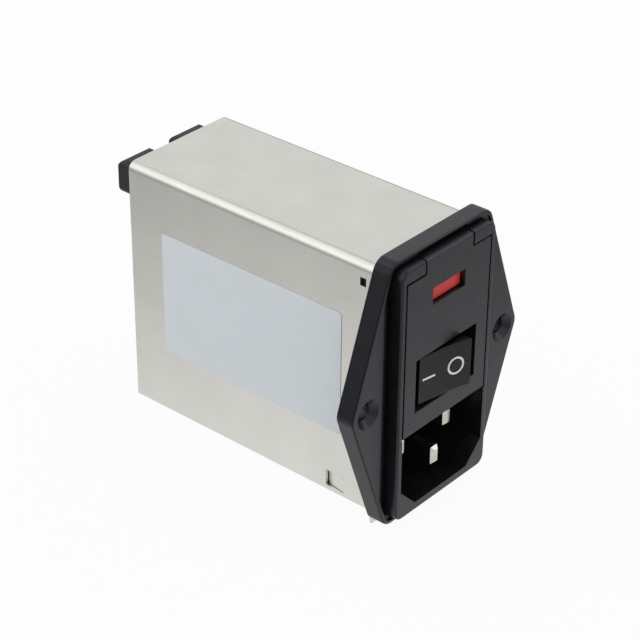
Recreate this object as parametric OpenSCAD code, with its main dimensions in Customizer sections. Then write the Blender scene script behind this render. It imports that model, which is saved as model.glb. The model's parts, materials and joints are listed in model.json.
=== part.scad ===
// Panel-mounted power entry module: mains inlet, fuse door, rocker switch and filter can.
// The origin is midway between the two screw holes, on the flange's rear face.
// +X is to the right seen from the front, +Y runs back into the can, +Z is up.

/* [Flange] */
// Distance between the two screw holes
hole_pitch = 40; // [38:0.5:42]
// Diameter of each screw hole
screw_hole_d = 3.4; // [3:0.1:4]
// Diameter of the countersink at the ear's face
countersink_d = 6; // [5:0.1:6.6]
// Width from ear tip to ear tip, before rounding
flange_tip_w = 49.2; // [48.4:0.2:53]
// Width of the flange's top and bottom edges, before rounding
flange_top_w = 28.8; // [28.2:0.1:30]
// Height of the flange
flange_h = 56.6; // [56:0.2:59]
// Thickness of the flange at the ears
flange_t = 3.7; // [3.2:0.1:5]
// Rounding of the ear tips
tip_r = 3; // [1:0.5:4]
// Rounding of the flange's upper and lower corners
corner_r = 3; // [1:0.1:3.4]

/* [Bezel] */
// Width of the raised bezel
bezel_w = 27.2; // [26.8:0.1:28]
// Height of the raised bezel
bezel_h = 53.7; // [53:0.1:54.6]
// Rounding of the bezel's corners
bezel_r = 2; // [0.6:0.1:2.4]
// How far the bezel stands ahead of the ears
bezel_proud = 1.9; // [1.2:0.1:3]
// Width over which the ears roll off towards the bezel
moat_w = 3.4; // [2:0.1:3.6]
// Radius of that roll-off
moat_roll_r = 5; // [4.4:0.1:8]
// Width of the rim left at full height along the flange's edge
rim_w = 0.8; // [0.4:0.05:0.9]

/* [Inlet] */
// Width of the inlet opening
inlet_w = 24.4; // [23.8:0.1:24.8]
// Height of the inlet opening
inlet_h = 16.3; // [16:0.1:16.6]
// Rim of bezel left under the inlet
inlet_rim = 1.85; // [1.7:0.05:2.4]
// Size of the two cut corners beside the earth pin
inlet_chamfer = 4.4; // [3:0.1:5]
// Depth of the inlet recess behind the bezel's face
inlet_depth = 18.1; // [16:0.1:20]
// Thickness of each pin
pin_t = 2; // [1.6:0.1:2.2]
// Width of each pin
pin_w = 3.8; // [3.6:0.1:4.2]
// Distance between the line and neutral pins
pin_pitch = 14; // [13:0.1:15]
// Line and neutral pins, below the inlet's upper edge
pin_drop = 6.15; // [5.6:0.05:6.6]
// Earth pin, below the line and neutral pins
earth_drop = 4.1; // [3.6:0.1:4.4]
// Line and neutral tips, behind the bezel's face
pin_recess = 4; // [3:0.1:6]
// Earth tip, behind the bezel's face
earth_recess = 1.3; // [1:0.1:3]
// How far each pin narrows on each side of its tip
pin_bevel = 0.6; // [0.2:0.1:0.8]
// Length of the narrowing tip
pin_taper_l = 0.7; // [0.4:0.1:1.6]

/* [Fuse door] */
// Thickness of the door
door_t = 2; // [1.6:0.1:2.4]
// Gap between the door and the bezel's rim
door_gap = 0.35; // [0.1:0.05:0.5]
// Width of the door
door_w = 24.2; // [23.6:0.1:24.6]
// Width of the finger tab
tab_w = 13.5; // [10:0.1:16]
// Height of the housing's blocks beside the tab
block_h = 2.6; // [2:0.1:3.4]
// Bevel of the tab's upper edge
tab_bevel = 0.4; // [0.1:0.1:0.8]
// Radius of the door's hinge pins
hinge_r = 0.5; // [0.4:0.05:0.7]
// Length of the door's hinge pins
hinge_l = 0.85; // [0.6:0.05:1]
// Width of the window over the fuse carrier
window_w = 9.4; // [7:0.1:11]
// Height of the window
window_h = 3.5; // [2.5:0.1:4.5]
// Height of the window's middle above the origin
window_z = 18.45; // [17.6:0.05:19]
// How far the red pad lies behind the door's face
pad_recess = 1; // [0.8:0.1:1.5]

/* [Switch] */
// Height of the rocker
rocker_h = 10.1; // [9.4:0.1:10.4]
// Half the length of the rocker
rocker_half = 6.3; // [5.8:0.1:6.8]
// Height of the rocker's middle above the origin
rocker_z = 1.2; // [1:0.05:1.3]
// Distance from the rocker's axis out to its valley
rocker_reach = 4.6; // [4.2:0.1:5]
// Rocker's axis, ahead of the panel face
rocker_axis_front = 1.5; // [1:0.1:1.6]
// Slope of each half of the rocker's face
rocker_slope = 3.2; // [1:0.1:5]
// Tilt of the rocker to either side
rocker_tilt = 12.9; // [8:0.1:13]
// Width of the door's opening for the rocker
opening_w = 17.7; // [16.8:0.1:18]
// Gap above and below the rocker in that opening
opening_gap = 0.55; // [0.45:0.05:0.7]
// Radius of the rocker's trunnions
trunnion_r = 1; // [0.8:0.05:1.2]
// Wall of the switch body
switch_wall = 0.9; // [0.8:0.1:1.1]
// Tilt of the contact arms to either side
arm_tilt = 6; // [4:0.1:6.5]
// Distance between the two poles
pole_pitch = 5.2; // [4.6:0.1:5.6]

/* [Fuses] */
// Diameter of the fuse caps
fuse_d = 5.2; // [5:0.1:5.4]
// Length of each fuse
fuse_l = 20; // [19:0.1:20.5]
// Length of each fuse cap
cap_l = 5; // [4.4:0.1:5.6]
// Distance between the two fuses
fuse_pitch = 7.4; // [7.2:0.1:7.8]
// Height of the middle of the fuse compartment
fuse_z = 16.1; // [15.9:0.05:16.3]
// Sheet of the fuse clips
clip_t = 0.4; // [0.3:0.05:0.5]

/* [Filter can] */
// Width of the can
can_w = 28.1; // [28:0.1:28.4]
// Height of the can
can_h = 52.6; // [52.4:0.1:53.4]
// Middle of the can's height
can_z = -0.1; // [-0.2:0.05:0]
// Depth of the can behind the panel face
can_depth = 61.4; // [58:0.2:80]
// Sheet thickness of the can
sheet_t = 0.6; // [0.4:0.05:0.65]
// Outer radius of the can's upper bends
bend_r = 1.8; // [1.4:0.1:2.4]
// Outer radius of the can's lower folds
fold_r = 0.15; // [0.1:0.05:0.3]
// Turned-out lip below the can's bottom
lip_drop = 2.35; // [2:0.05:2.8]
// Width of that lip
lip_w = 28.8; // [24:0.1:29.4]
// Length of the label along the can
label_l = 45.2; // [30:0.2:46]
// Height of the label
label_h = 26.4; // [15:0.2:30]
// Middle of the label behind the panel face
label_y = 30.4; // [29:0.2:31]
// Middle of the label above the origin
label_z = 0.7; // [-2:0.1:2]

/* [Rear] */
// Width of each terminal hood
hood_w = 8.6; // [8:0.1:8.8]
// Height of each terminal hood
hood_h = 7; // [6:0.1:7.2]
// How far the hoods stand behind the can
hood_depth = 3; // [2.4:0.1:3.4]
// Distance between the two hoods
hood_pitch = 14; // [13:0.1:15]
// Left hood's outer edge, in from the can's side
hood_inset = 0.1; // [0.05:0.05:0.4]
// Top edge of the hoods
hood_top = 25.7; // [25:0.1:25.9]
// Rounding of the hoods' edges
hood_r = 1.3; // [0.5:0.1:1.5]
// Line and neutral tabs, below the hoods' top edge
tab_drop = 2.6; // [2.2:0.1:3]
// Width of the line and neutral tabs
tab_blade_w = 4.8; // [4:0.1:5]
// Width of the earth tab
earth_blade_w = 6.3; // [4.8:0.1:6.5]
// Thickness of the tabs
blade_t = 0.8; // [0.6:0.05:0.9]
// Length of the earth tab behind the rear plate
earth_blade_l = 8; // [6:0.1:10]

/* [Filter] */
// Thickness of the circuit board
board_t = 1.6; // [1.2:0.1:2]
// Room between the choke core and the can's sides
choke_room = 3.95; // [3.9:0.05:5]
// Radial width of the choke core's section
choke_wall = 4; // [3:0.1:4.5]
// Thickness of the choke core
choke_t = 6.8; // [5:0.1:8]
// Thickness of the windings
winding_t = 0.7; // [0.5:0.05:1]
// Radius of the insulated leads
lead_r = 0.6; // [0.4:0.05:0.7]

/* [Hidden] */
$fn = 64;
cut = 1;
fit = 0.1;
running_fit = 0.05;

bezel_front = flange_t + bezel_proud;
door_back = bezel_front - door_t;
pocket_gap = 0.3;
pocket_back = door_back - pocket_gap;
inlet_bottom_z = inlet_rim - bezel_h / 2;
inlet_top_z = inlet_bottom_z + inlet_h;
shoulder_z = bezel_h / 2 - block_h;
hinge_z = inlet_top_z + door_t / 2;
hinge_front = bezel_front - door_t / 2;

moat_lift = 0.05;
moat_tuck = 0.3;
moat_depth = moat_roll_r - moat_lift - sqrt(pow(moat_roll_r, 2) - pow(moat_w, 2));

can_top = can_z + can_h / 2;
can_bottom = can_z - can_h / 2;
can_in_w = can_w - 2 * sheet_t;
body_clear = 0.2;
can_seat_t = 0.3;
body_w = can_in_w - 2 * body_clear;
body_top = can_top - sheet_t - body_clear;
body_bottom = can_bottom + sheet_t + body_clear;

inlet_floor_y = inlet_depth - bezel_front;
floor_t = 2;
body_depth = inlet_floor_y + floor_t;
pin_tail_l = 3.5;
tail_y = body_depth + pin_tail_l;
pin_z = inlet_top_z - pin_drop;
earth_z = pin_z - earth_drop;

rocker_low = rocker_z - rocker_h / 2;
rocker_high = rocker_z + rocker_h / 2;
rocker_gap = 0.2;
opening_low = rocker_low - opening_gap;
opening_high = rocker_high + opening_gap;
rocker_axis_y = -rocker_axis_front;
rocker_end = rocker_reach + rocker_half * tan(rocker_slope);
rocker_end_t = 3.6;
rocker_hub_r = 2.2;
stem_l = 4.2;
stem_w = 3;
switch_side_gap = 0.3;
switch_in_w = opening_w + 2 * switch_side_gap;
switch_w = switch_in_w + 2 * switch_wall;
switch_h = rocker_h + 2 * rocker_gap + 2 * switch_wall;
switch_front = pocket_back;
plunger_reach = 6;
arm_t = 0.5;
arm_y = rocker_axis_y + plunger_reach + running_fit + arm_t / 2;
arm_half = 5;
arm_room = 4.2;
contact_x = 4;
pivot_gap = 0.15;
switch_back_y = arm_y + arm_room;
switch_floor_t = 1.2;
terminal_t = 0.8;
terminal_w = 2.2;
terminal_tail_l = 4;
terminal_end_y = switch_back_y + terminal_tail_l;
poles = [rocker_z - pole_pitch / 2, rocker_z + pole_pitch / 2];

chamber_room = [3.2, 2.6];
chamber_h = fuse_pitch + fuse_d + chamber_room[1];
chamber_w = fuse_l + chamber_room[0];
chamber_back_y = 6.5;
chamber_floor_t = 1.4;
fuse_y = 2.2;
fuses = [fuse_z - fuse_pitch / 2, fuse_z + fuse_pitch / 2];
clip_inset = 0.5;
clip_l = cap_l - 2 * clip_inset;
clip_x = fuse_l / 2 - cap_l / 2;
clip_tail_l = 4;
clip_end_y = chamber_back_y + chamber_floor_t + clip_tail_l;

barb_y = [2.4, 3.6];
barb_drop = 3.1;
barb_z = body_top - barb_drop;
barb_h = 1.5;
lance_y = [6.6, 11];
lance_rise = 1.1;
lance_h = 3.3;
lance_z = [can_bottom + lance_rise, can_bottom + lance_rise + lance_h];
lance_in = 0.75;
slit = 0.1;

pan_clear = 0.05;
pan_w = can_in_w - 2 * pan_clear;
pan_h = can_h - 2 * sheet_t - 2 * pan_clear;
pan_recess = 0.2;
pan_back = can_depth - pan_recess;
pan_depth = 8;
board_back = pan_back - pan_depth;
board_front = board_back - board_t;
hood_x = hood_inset + hood_w / 2 - can_w / 2;
hoods = [hood_x, hood_x + hood_pitch];
hood_wall = 0.8;
hood_back = can_depth + hood_depth;
tab_z = hood_top - tab_drop;
tab_foot_z = 11;
earth_inset = 5.55;
earth_foot = [can_w / 2 - earth_inset, 2];
rivet_r = 1.4;
tab_hole_d = 1.7;

board_inset = [0.4, 5.7, 1.2];
board_low = can_z - pan_h / 2 + board_inset[1];
board_high = can_z + pan_h / 2 - board_inset[2];
choke_d = can_in_w - 2 * choke_room;
choke_bore = choke_d - 2 * choke_wall;
choke_z = 7;
x_cap = [18, 8, 15];
x_cap_z = -9.5;
y_cap_z = -17;
y_cap_x = 8;
y_cap_d = 6.4;
y_cap_t = 3;
y_lead_z = 2;
resistor_z = -4;
resistor_r = 1.1;
resistor_l = 6.4;
wire_bend = 1.4;
wire_r = 0.3;

plunger_r = 0.85;
plunger_bore = plunger_r + running_fit;
plunger_l = 4;

lead_bend_r = 1.2;
lead_gap = 2;
lead_wall_gap = 1.85;
lead_stub = 0.3;
riser_x = can_in_w / 2 - lead_wall_gap - lead_r;
riser_y = tail_y + lead_bend_r + lead_stub;
crossing_y = riser_y + lead_gap;
earth_lead_x = 4;

function unit(v) = v / norm(v);

// A front-view outline, extruded between two distances ahead of the panel face
module slab(back, front) {
  rotate([90, 0, 0]) translate([0, 0, back]) linear_extrude(front - back) children();
}

// A plan-view outline, extruded between two heights
module plan(low, high) {
  translate([0, 0, low]) linear_extrude(high - low) children();
}

// A side-view outline of y and z, extruded between two places along x
module side(left, right) {
  translate([left, 0, 0]) rotate([90, 0, 90]) linear_extrude(right - left) children();
}

module block(low, high) {
  translate(low) cube(high - low);
}

module rect(low, high) {
  translate(low) square(high - low);
}

module rounded_rect(size, r) {
  square([size[0] - 2 * r, size[1]], center = true);
  square([size[0], size[1] - 2 * r], center = true);
  for (x = [-1, 1], y = [-1, 1])
    translate([x * (size[0] / 2 - r), y * (size[1] / 2 - r)]) circle(r);
}

// A polygon with an arc at each corner, drawn in by an inset
module rounded_polygon(points, radii, inset = 0) {
  n = len(points);
  arms = [for (i = [0:n - 1]) [
    unit(points[(i + n - 1) % n] - points[i]),
    unit(points[(i + 1) % n] - points[i])
  ]];
  half = [for (a = arms) acos(a[0] * a[1]) / 2];
  inward = [for (i = [0:n - 1]) unit(arms[i][0] + arms[i][1]) / sin(half[i])];
  polygon([for (i = [0:n - 1], k = [0, 1])
    points[i] + inward[i] * inset + arms[i][k] * (radii[i] - inset) / tan(half[i])]);
  for (i = [0:n - 1]) translate(points[i] + inward[i] * radii[i]) circle(radii[i] - inset);
}

module flange_outline(inset = 0) {
  tip = flange_tip_w / 2;
  top = [flange_top_w / 2, flange_h / 2];
  rounded_polygon(
    [[tip, 0], top, [-top[0], top[1]], [-tip, 0], -top, [top[0], -top[1]]],
    [tip_r, corner_r, corner_r, tip_r, corner_r, corner_r],
    inset
  );
}

// Section of the roll-off: out from the bezel's corner centre, and ahead of the ears
module moat_section() {
  difference() {
    translate([bezel_r - moat_tuck, -moat_depth]) square([moat_w + moat_tuck, moat_depth + cut]);
    translate([bezel_r + moat_w, moat_lift - moat_roll_r]) circle(moat_roll_r);
  }
}

module moat() {
  reach = [bezel_w / 2 - bezel_r, bezel_h / 2 - bezel_r];
  for (k = [0:3]) {
    corner = k % 2 == 0 ? reach : [reach[1], reach[0]];
    rotate([90, 0, 0]) rotate(90 * k) translate([corner[0], corner[1], flange_t]) {
      rotate_extrude(angle = 90) moat_section();
      rotate([90, 0, 0]) linear_extrude(2 * corner[1]) moat_section();
    }
  }
}

module inlet_outline() {
  half = inlet_w / 2;
  polygon([
    [-half, inlet_top_z], [half, inlet_top_z], [half, inlet_bottom_z + inlet_chamfer],
    [half - inlet_chamfer, inlet_bottom_z], [inlet_chamfer - half, inlet_bottom_z],
    [-half, inlet_bottom_z + inlet_chamfer]
  ]);
}

module door_pocket() {
  half = door_w / 2 + door_gap;
  tab = tab_w / 2 + door_gap;
  slab(pocket_back, bezel_front + cut) {
    rect([-half, inlet_top_z - door_gap], [half, shoulder_z]);
    rect([-tab, inlet_top_z], [tab, bezel_h / 2 + cut]);
  }
}

module hinge_line(radius, half_length) {
  translate([-half_length, -hinge_front, hinge_z]) rotate([0, 90, 0])
    cylinder(r = radius, h = 2 * half_length);
}

// The opening through the inlet's floor for one pin
module pin_slot(x, z) {
  block(
    [x - pin_t / 2 - running_fit, inlet_floor_y - cut, z - pin_w / 2 - running_fit],
    [x + pin_t / 2 + running_fit, body_depth + cut, z + pin_w / 2 + running_fit]
  );
}

module screw_hole(x) {
  translate([x, 0, 0]) rotate([90, 0, 0]) {
    translate([0, 0, -cut]) cylinder(d = screw_hole_d, h = flange_t + 2 * cut);
    sink = (countersink_d - screw_hole_d) / 2;
    translate([0, 0, flange_t - sink]) cylinder(d1 = screw_hole_d, d2 = countersink_d, h = sink);
    translate([0, 0, flange_t]) cylinder(d = countersink_d, h = cut);
  }
}

// Ramped latch on the housing's side that snaps into the can's window
module barb() {
  plan(barb_z - barb_h / 2, barb_z + barb_h / 2)
    polygon([
      [body_w / 2 - cut, barb_y[0]], [body_w / 2 + body_clear + sheet_t - fit, barb_y[0]],
      [body_w / 2, barb_y[1]], [body_w / 2 - cut, barb_y[1]]
    ]);
}

module housing() color([0.14, 0.14, 0.15]) {
  difference() {
    union() {
      difference() {
        union() {
          difference() {
            slab(0, flange_t) flange_outline();
            intersection() {
              moat();
              slab(0, flange_t + 2 * cut) flange_outline(rim_w);
            }
          }
          slab(0, bezel_front) rounded_rect([bezel_w, bezel_h], bezel_r);
        }
        can_seat();
      }
      slab(-body_depth, 2 * can_seat_t) can_section(-sheet_t - body_clear);
      barb();
      mirror([1, 0, 0]) barb();
    }
    for (x = [-1, 1]) screw_hole(x * hole_pitch / 2);
    slab(-inlet_floor_y, bezel_front + cut) inlet_outline();
    door_pocket();
    hinge_line(hinge_r + running_fit, door_w / 2 + hinge_l + fit);
    switch_chamber();
    fuse_chamber();
    for (x = [-1, 1]) pin_slot(x * pin_pitch / 2, pin_z);
    pin_slot(0, earth_z);
    lip_pocket();
    for (x = [0, 1]) mirror([x, 0, 0]) lance_pocket();
  }
}

module switch_chamber() {
  half = [switch_w / 2 + fit, switch_h / 2 + fit];
  slab(-body_depth - cut, pocket_back + cut)
    rect([-half[0], rocker_z - half[1]], [half[0], rocker_z + half[1]]);
}

module fuse_chamber() {
  low = [-chamber_w / 2, fuse_z - chamber_h / 2];
  slab(-chamber_back_y, pocket_back + cut) rect(low, [-low[0], fuse_z + chamber_h / 2]);
  slab(-body_depth - cut, -chamber_back_y - chamber_floor_t) rect(low, [-low[0], fuse_z + chamber_h / 2]);
  for (x = [-1, 1], z = fuses)
    block(
      [x * clip_x - clip_l / 2 - fit, chamber_back_y - cut, z - clip_t / 2 - fit],
      [x * clip_x + clip_l / 2 + fit, chamber_back_y + chamber_floor_t + cut, z + clip_t / 2 + fit]
    );
}

// Step in the flange's rear that takes the can's front edge
module can_seat() {
  slab(-cut, can_seat_t) can_section(fit);
}

// Step in the flange's rear that takes the can's turned-out lip
module lip_pocket() {
  block(
    [-lip_w / 2 - fit, -sheet_t, can_bottom - lip_drop - cut],
    [lip_w / 2 + fit, cut, body_bottom]
  );
}

module lance_pocket() {
  depth = lance_in + fit;
  block(
    [body_w / 2 - depth, lance_y[0], lance_z[0] - slit],
    [body_w / 2 + cut, lance_y[1] + slit, lance_z[1] + slit]
  );
}

module fuse_door() color([0.15, 0.15, 0.16]) {
  half = door_w / 2;
  difference() {
    union() {
      side(-half, half) {
        rect([-bezel_front, hinge_z], [-door_back, shoulder_z - door_gap]);
        rect([-bezel_front, inlet_top_z], [-hinge_front, hinge_z]);
        translate([-hinge_front, hinge_z]) circle(door_t / 2);
      }
      slab(door_back, bezel_front) rect([-tab_w / 2, shoulder_z - cut], [tab_w / 2, bezel_h / 2]);
      hinge_line(hinge_r, half + hinge_l);
    }
    slab(door_back - cut, bezel_front + cut) {
      rect([-opening_w / 2, opening_low], [opening_w / 2, opening_high]);
      translate([0, window_z]) square([window_w, window_h], center = true);
    }
    translate([0, -bezel_front, bezel_h / 2]) rotate([45, 0, 0])
      cube([tab_w + cut, tab_bevel * sqrt(2), tab_bevel * sqrt(2)], center = true);
  }
}

module fuse_carrier() color([0.72, 0.12, 0.12]) {
  gap = 0.3;
  half = chamber_w / 2 - gap;
  low = fuse_z - chamber_h / 2 + gap;
  high = fuse_z + chamber_h / 2 - gap;
  plate_front = -pocket_back;
  plate_back = plate_front + 1.6;
  cheek = half - fuse_l / 2 - 0.4;
  difference() {
    union() {
      block([-half, plate_front, low], [half, plate_back, high]);
      cradle = fuse_l / 2 - cap_l - 0.4;
      block([-cradle, plate_back - cut, low], [cradle, fuse_y + 0.8, high]);
      for (x = [0, 1]) mirror([x, 0, 0])
        block([half - cheek, plate_back - cut, low], [half, fuse_y + 1.8, high]);
    }
    for (z = fuses) translate([-half, fuse_y, z]) rotate([0, 90, 0])
      translate([0, 0, cheek]) cylinder(d = fuse_d - 0.1, h = 2 * (half - cheek));
  }
  slab(pocket_back - cut, bezel_front - pad_recess) translate([0, window_z])
    square([window_w - 2 * gap, window_h - 2 * gap], center = true);
}

module fuse_tube(z) {
  inner = fuse_d / 2 - 0.7;
  reach = fuse_l / 2 - 0.5;
  translate([-reach, fuse_y, z]) rotate([0, 90, 0]) difference() {
    cylinder(d = fuse_d - 0.3, h = 2 * reach);
    translate([0, 0, -cut]) cylinder(r = inner, h = 2 * (reach + cut));
  }
}

module fuse_glass_lower() color([0.8, 0.88, 0.88, 0.5]) fuse_tube(fuses[0]);

module fuse_glass_upper() color([0.8, 0.88, 0.88, 0.5]) fuse_tube(fuses[1]);

module fuse_caps() color([0.78, 0.78, 0.76]) {
  for (x = [0, 1], z = fuses) mirror([x, 0, 0])
    translate([fuse_l / 2 - cap_l, fuse_y, z]) rotate([0, 90, 0]) difference() {
      cylinder(d = fuse_d, h = cap_l);
      translate([0, 0, -cut]) cylinder(d = fuse_d - 0.2, h = cap_l + cut - 0.4);
    }
}

module fuse_elements() color([0.7, 0.66, 0.55]) {
  reach = fuse_l / 2 - 0.4;
  for (z = fuses) translate([-reach, fuse_y, z]) rotate([0, 90, 0]) cylinder(r = 0.12, h = 2 * reach);
}

// Sprung ring around a fuse cap, open to the front, with a tail through the compartment's floor
module fuse_clips() color([0.8, 0.68, 0.38]) {
  inner = fuse_d / 2 + running_fit;
  for (x = [-1, 1], z = fuses) translate([x * clip_x - clip_l / 2, 0, 0]) side(0, clip_l) {
    difference() {
      translate([fuse_y, z]) circle(inner + clip_t);
      translate([fuse_y, z]) circle(inner);
      translate([fuse_y - 2 * inner, z - inner - cut]) square([2 * inner - 0.9, 2 * (inner + cut)]);
    }
    rect([fuse_y + inner + clip_t / 2, z - clip_t / 2], [clip_end_y, z + clip_t / 2]);
  }
}

// Flat pin along y with a bevelled tip, and a narrower tail for its lead
module inlet_pin(x, z, tip) {
  end = tail_y - 3;
  intersection() {
    translate([x, 0, 0]) plan(z - pin_w, z + pin_w)
      polygon([
        [-pin_t / 2, end], [-pin_t / 2, tip + pin_taper_l], [pin_bevel - pin_t / 2, tip],
        [pin_t / 2 - pin_bevel, tip], [pin_t / 2, tip + pin_taper_l], [pin_t / 2, end]
      ]);
    translate([0, 0, z]) side(x - pin_t, x + pin_t)
      polygon([
        [end, -pin_w / 2], [tip + pin_taper_l, -pin_w / 2], [tip, pin_bevel - pin_w / 2],
        [tip, pin_w / 2 - pin_bevel], [tip + pin_taper_l, pin_w / 2], [end, pin_w / 2]
      ]);
  }
  block([x - pin_t / 4, end - cut, z - pin_w / 4], [x + pin_t / 4, tail_y, z + pin_w / 4]);
}

module line_pin() color([0.82, 0.8, 0.72]) inlet_pin(-pin_pitch / 2, pin_z, pin_recess - bezel_front);

module neutral_pin() color([0.82, 0.8, 0.72]) inlet_pin(pin_pitch / 2, pin_z, pin_recess - bezel_front);

module earth_pin() color([0.82, 0.8, 0.72]) inlet_pin(0, earth_z, earth_recess - bezel_front);

module switch_body() color([0.16, 0.16, 0.17]) {
  low = rocker_z - switch_h / 2;
  high = rocker_z + switch_h / 2;
  difference() {
    block([-switch_w / 2, -switch_front, low], [switch_w / 2, switch_back_y, high]);
    block(
      [-switch_in_w / 2, -switch_front - cut, low + switch_wall],
      [switch_in_w / 2, switch_back_y - switch_floor_t, high - switch_wall]
    );
    translate([0, rocker_axis_y, low - cut]) cylinder(r = trunnion_r + running_fit, h = switch_h + 2 * cut);
    for (x = [0, contact_x], z = poles) terminal_shape(x, z, switch_back_y - 2 * switch_floor_t, fit);
  }
}

// The stretch of a switch terminal behind a place, grown by a clearance
module terminal_shape(x, z, from, grow) {
  block(
    [x - terminal_t / 2 - grow, from, z - terminal_w / 2 - grow],
    [x + terminal_t / 2 + grow, terminal_end_y, z + terminal_w / 2 + grow]
  );
}

// Turns the switch's neutral form about an upright axis to its resting tilt
module tilted(y, angle) {
  translate([0, y, 0]) rotate(angle) translate([0, -y, 0]) children();
}

module rocker() color([0.09, 0.09, 0.1]) {
  wing = rocker_half - 0.9;
  wing_y = rocker_end_t - rocker_end;
  hub_y = -1;
  difference() {
    tilted(rocker_axis_y, -rocker_tilt) translate([0, rocker_axis_y, 0]) {
      plan(rocker_low, rocker_high) {
        polygon([
          [-rocker_half, -rocker_end], [0, -rocker_reach], [rocker_half, -rocker_end],
          [wing, wing_y], [rocker_hub_r, hub_y], [-rocker_hub_r, hub_y], [-wing, wing_y]
        ]);
        circle(r = rocker_hub_r);
        rect([-stem_w / 2, hub_y], [stem_w / 2, stem_l]);
      }
      translate([0, 0, rocker_z - rocker_h / 2 - rocker_gap - switch_wall])
        cylinder(r = trunnion_r, h = rocker_h + 2 * (rocker_gap + switch_wall));
    }
    for (z = poles) plunger_axis(z, -cut) cylinder(r = plunger_bore, h = stem_l + 2 * cut);
  }
}

// Places children on a plunger's axis, pointing back from the rocker's own axis
module plunger_axis(z, from) {
  tilted(rocker_axis_y, -rocker_tilt) translate([0, rocker_axis_y + from, z]) rotate([-90, 0, 0]) children();
}

module rocker_plungers() color([0.85, 0.84, 0.8]) {
  for (z = poles) plunger_axis(z, plunger_reach - plunger_l) {
    cylinder(r = plunger_r, h = plunger_l - plunger_r);
    translate([0, 0, plunger_l - plunger_r]) sphere(plunger_r);
  }
}

// Stacked turns of the spring behind each plunger
module plunger_springs() color([0.7, 0.7, 0.72]) {
  wire = 0.14;
  room = plunger_reach - plunger_l + cut;
  turns = 6;
  for (z = poles) plunger_axis(z, -cut) {
    for (k = [0:turns - 1]) translate([0, 0, wire + k * (room - 2 * wire) / (turns - 1)])
      rotate_extrude() translate([plunger_r - 2 * wire, 0]) circle(wire);
    translate([plunger_r - 2 * wire, 0, wire]) cylinder(r = wire * 0.7, h = room - 2 * wire);
  }
}

module contact_arms() color([0.82, 0.7, 0.4]) {
  for (z = poles) tilted(arm_y, arm_tilt)
    block(
      [-arm_half, arm_y - arm_t / 2, z - terminal_w / 2],
      [arm_half, arm_y + arm_t / 2, z + terminal_w / 2]
    );
}

module common_terminals() color([0.8, 0.7, 0.45]) {
  for (z = poles) terminal_shape(0, z, arm_y + arm_t / 2 + pivot_gap, 0);
}

module output_terminals() color([0.8, 0.7, 0.45]) {
  button = arm_y + arm_t / 2 + (contact_x + terminal_t / 2) * tan(arm_tilt) + running_fit;
  for (z = poles) terminal_shape(contact_x, z, button, 0);
}

// The can's section, grown by a margin: wide bends above and sharp folds below
module can_section(grow) {
  half = [can_w / 2 + grow, can_h / 2 + grow];
  translate([0, can_z]) rounded_polygon(
    [half, [-half[0], half[1]], -half, [half[0], -half[1]]],
    [bend_r + grow, bend_r + grow, fold_r, fold_r]
  );
}

module can_outline() {
  difference() {
    can_section(0);
    can_section(-sheet_t);
  }
}

// Sheet folded round four sides, with its seam under the bottom
module filter_can() color([0.78, 0.78, 0.76]) {
  seam = 0.2;
  difference() {
    union() {
      slab(-can_depth, can_seat_t) can_outline();
      lip();
    }
    block(
      [-seam / 2, -sheet_t - cut, can_bottom - lip_drop - cut],
      [seam / 2, can_depth + cut, can_bottom + 2 * sheet_t]
    );
    for (x = [0, 1]) mirror([x, 0, 0]) {
      block(
        [can_w / 2 - 2 * sheet_t, barb_y[0] - fit, barb_z - barb_h / 2 - fit],
        [can_w / 2 + cut, barb_y[1] + fit, barb_z + barb_h / 2 + fit]
      );
      block(
        [can_w / 2 - 2 * sheet_t, lance_y[0], lance_z[0] - slit],
        [can_w / 2 + cut, lance_y[1] + slit, lance_z[1] + slit]
      );
    }
  }
  for (x = [0, 1]) mirror([x, 0, 0]) lanced_tab();
}

// Tongue cut free on three sides and pressed inwards at its rear end
module lanced_tab() {
  outer = can_w / 2;
  plan(lance_z[0], lance_z[1])
    polygon([
      [outer, lance_y[0]], [outer - lance_in, lance_y[1]], [outer - lance_in - sheet_t, lance_y[1]],
      [outer - sheet_t, lance_y[0]]
    ]);
}

module lip() {
  low = can_bottom - lip_drop;
  flat_w = can_w - 2 * bend_r;
  slab(0, sheet_t) rect([-flat_w / 2, can_bottom], [flat_w / 2, can_bottom + sheet_t]);
  slab(0, sheet_t) rect([-lip_w / 2, low], [lip_w / 2, can_bottom]);
}

module label() color([0.76, 0.79, 0.81]) {
  thick = 0.1;
  translate([0, label_y, label_z]) side(-can_w / 2 - thick, -can_w / 2) rounded_rect([label_l, label_h], 0.6);
}

module rear_plate() color([0.76, 0.76, 0.74]) {
  difference() {
    slab(-pan_back, pan_depth - pan_back) can_section(-sheet_t - pan_clear);
    slab(sheet_t - pan_back, pan_depth - pan_back + cut) can_section(-2 * sheet_t - pan_clear);
    for (x = hoods) slab(-pan_back - cut, sheet_t - pan_back + cut) neck_outline(x, 0);
    slab(-pan_back - cut, sheet_t - pan_back + cut) translate(earth_foot) circle(rivet_r + running_fit);
  }
}

module neck_outline(x, shrink) {
  size = [tab_blade_w + 1.6 - 2 * shrink, 2.6 - 2 * shrink];
  translate([x, tab_z]) square(size, center = true);
}

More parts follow.
